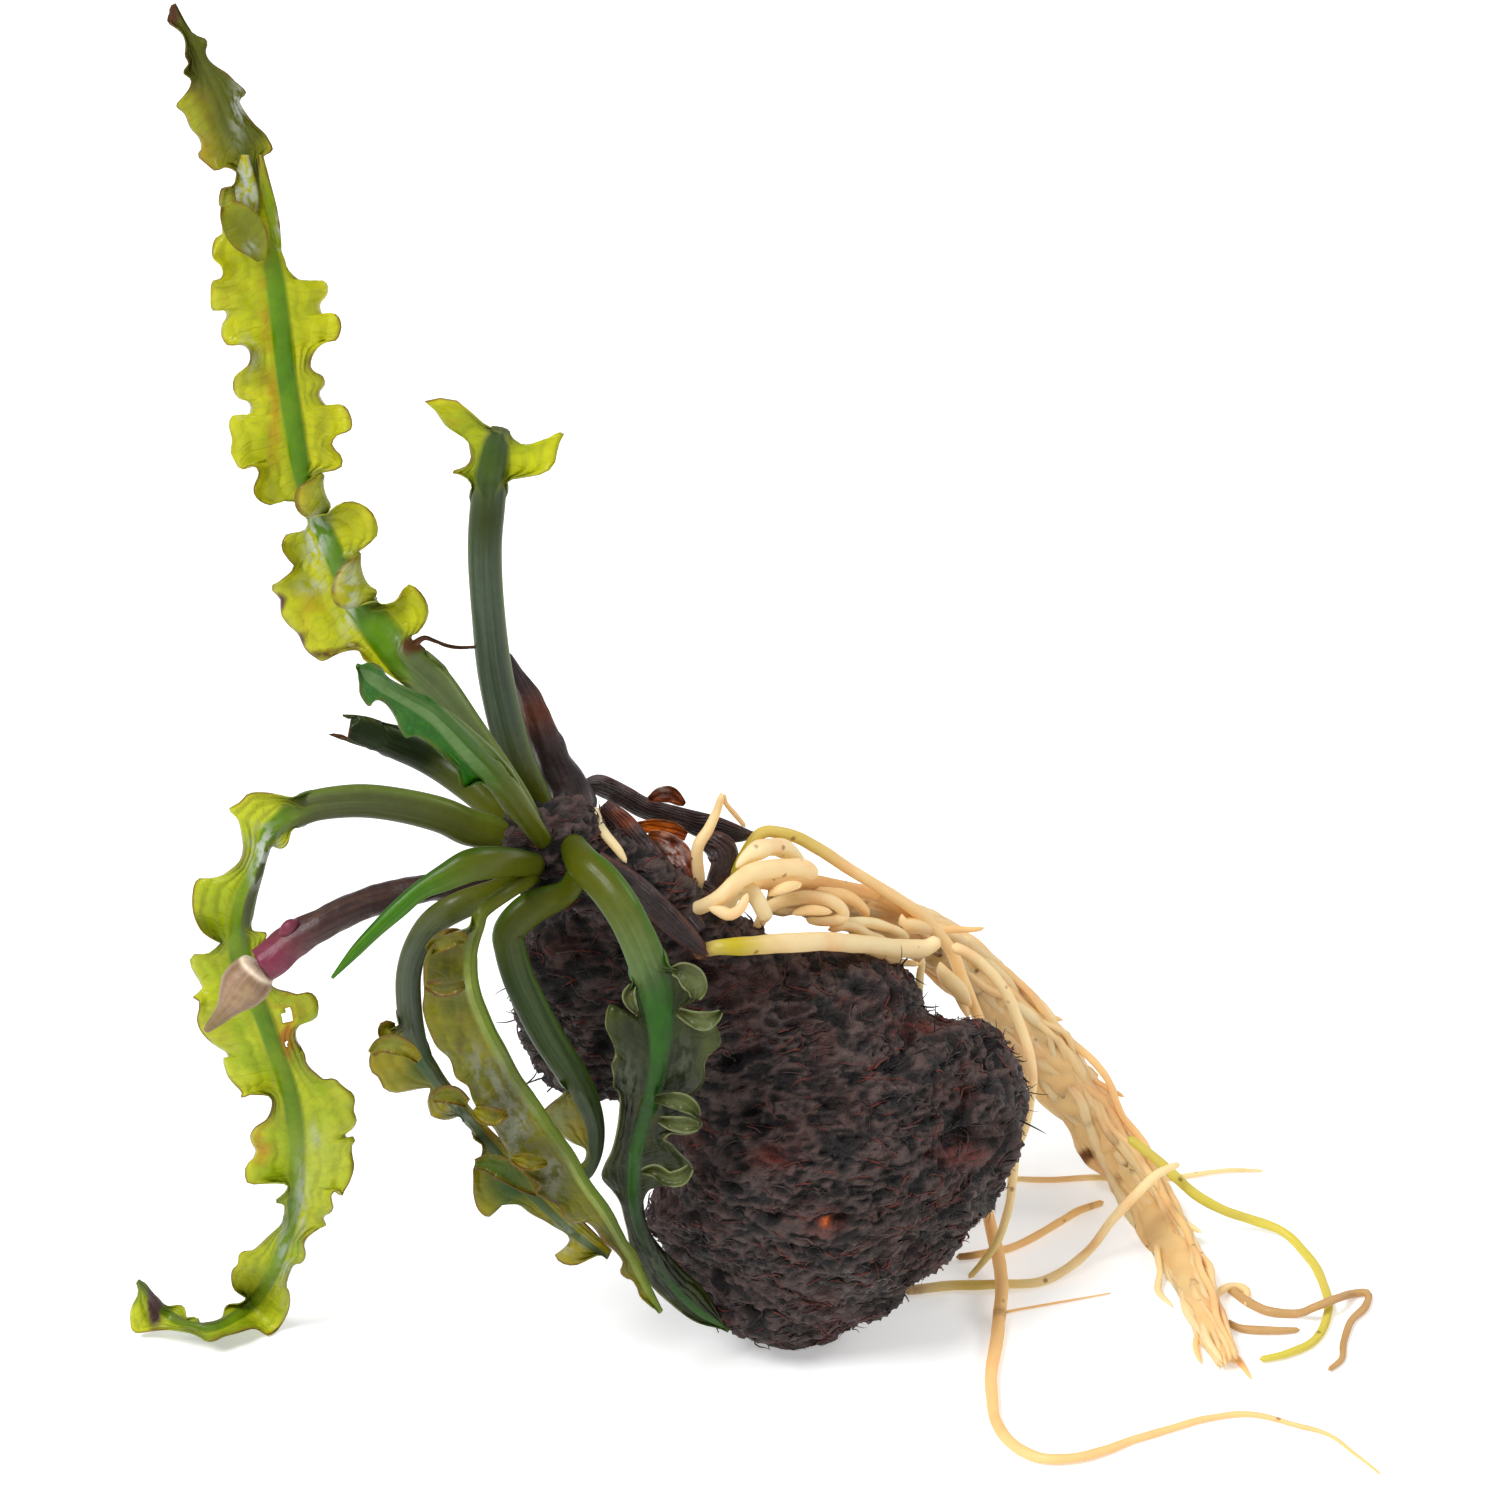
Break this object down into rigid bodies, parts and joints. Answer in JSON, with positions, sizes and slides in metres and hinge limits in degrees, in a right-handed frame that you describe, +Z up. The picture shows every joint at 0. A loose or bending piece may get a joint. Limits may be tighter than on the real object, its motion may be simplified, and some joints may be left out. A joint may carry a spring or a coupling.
{
  "type": "bare-rooted aponogeton plant",
  "caption": "Bare-rooted crisped-leaf water plant standing on a dark fibrous tuber, with arching leaves, a flower bud and cream roots.",
  "frame": {"origin": "middle of the flat spot that the tuber rests on", "axes": "+Z up, +X towards the roots' side, -Y towards the side that shows the hanging leaves and the flower bud"},
  "size_m": [0.1543, 0.0709, 0.169],
  "materials": {
    "tuber_skin": "wet, dark brown, fibrous and pitted tuber flesh with reddish patches",
    "dead_leaf": "dark purple-brown dead leaf stalk, leathery, lengthways streaks",
    "old_scale": "wet red-brown old scale tissue",
    "leaf_yellow": "thin, glossy, light-passing yellow-green blade with a green rib and brown margin",
    "leaf_green": "glossy green leaf with grey-green streaked stalk",
    "leaf_olive": "glossy olive blade, pale rib, crisped margin",
    "flower_stalk": "smooth purple-brown stalk, magenta near the bud",
    "flower_bud": "matt tan spathe with fine lengthways lines and a pale rim",
    "root_cream": "waxy cream root, slightly light-passing, a few brown specks",
    "root_green": "waxy yellow-green root",
    "root_tan": "thin dry tan root with brown dirt"
  },
  "bodies": {
    "root": {"tuber": "tuber_skin", "old_leaf_stalk": "dead_leaf", "old_leaf_base": "dead_leaf", "old_scale": "old_scale", "flower_stalk": "flower_stalk", "flower_bud": "flower_bud", "tall_leaf": "leaf_yellow", "left_leaf": "leaf_yellow", "cut_leaf": "leaf_green", "young_leaf": "leaf_green", "broken_leaf": "leaf_green", "pointed_leaf": "leaf_green", "hanging_leaf_1": "leaf_olive", "hanging_leaf_2": "leaf_olive", "hanging_leaf_3": "leaf_green", "hanging_leaf_4": "leaf_olive", "front_root": "root_cream", "curled_root": "root_cream", "hooked_root": "root_cream", "peaked_root": "root_cream", "crown_root": "root_cream", "over_root": "root_cream", "shoulder_root": "root_cream", "looped_root": "root_cream", "side_root": "root_cream", "long_root": "root_cream", "floor_root_1": "root_cream", "floor_root_2": "root_cream", "floor_root_3": "root_cream", "green_root": "root_green", "tan_root_1": "root_tan", "tan_root_2": "root_tan", "fine_root": "root_tan", "root_bundle": "root_cream"}
  },
  "joints": []
}
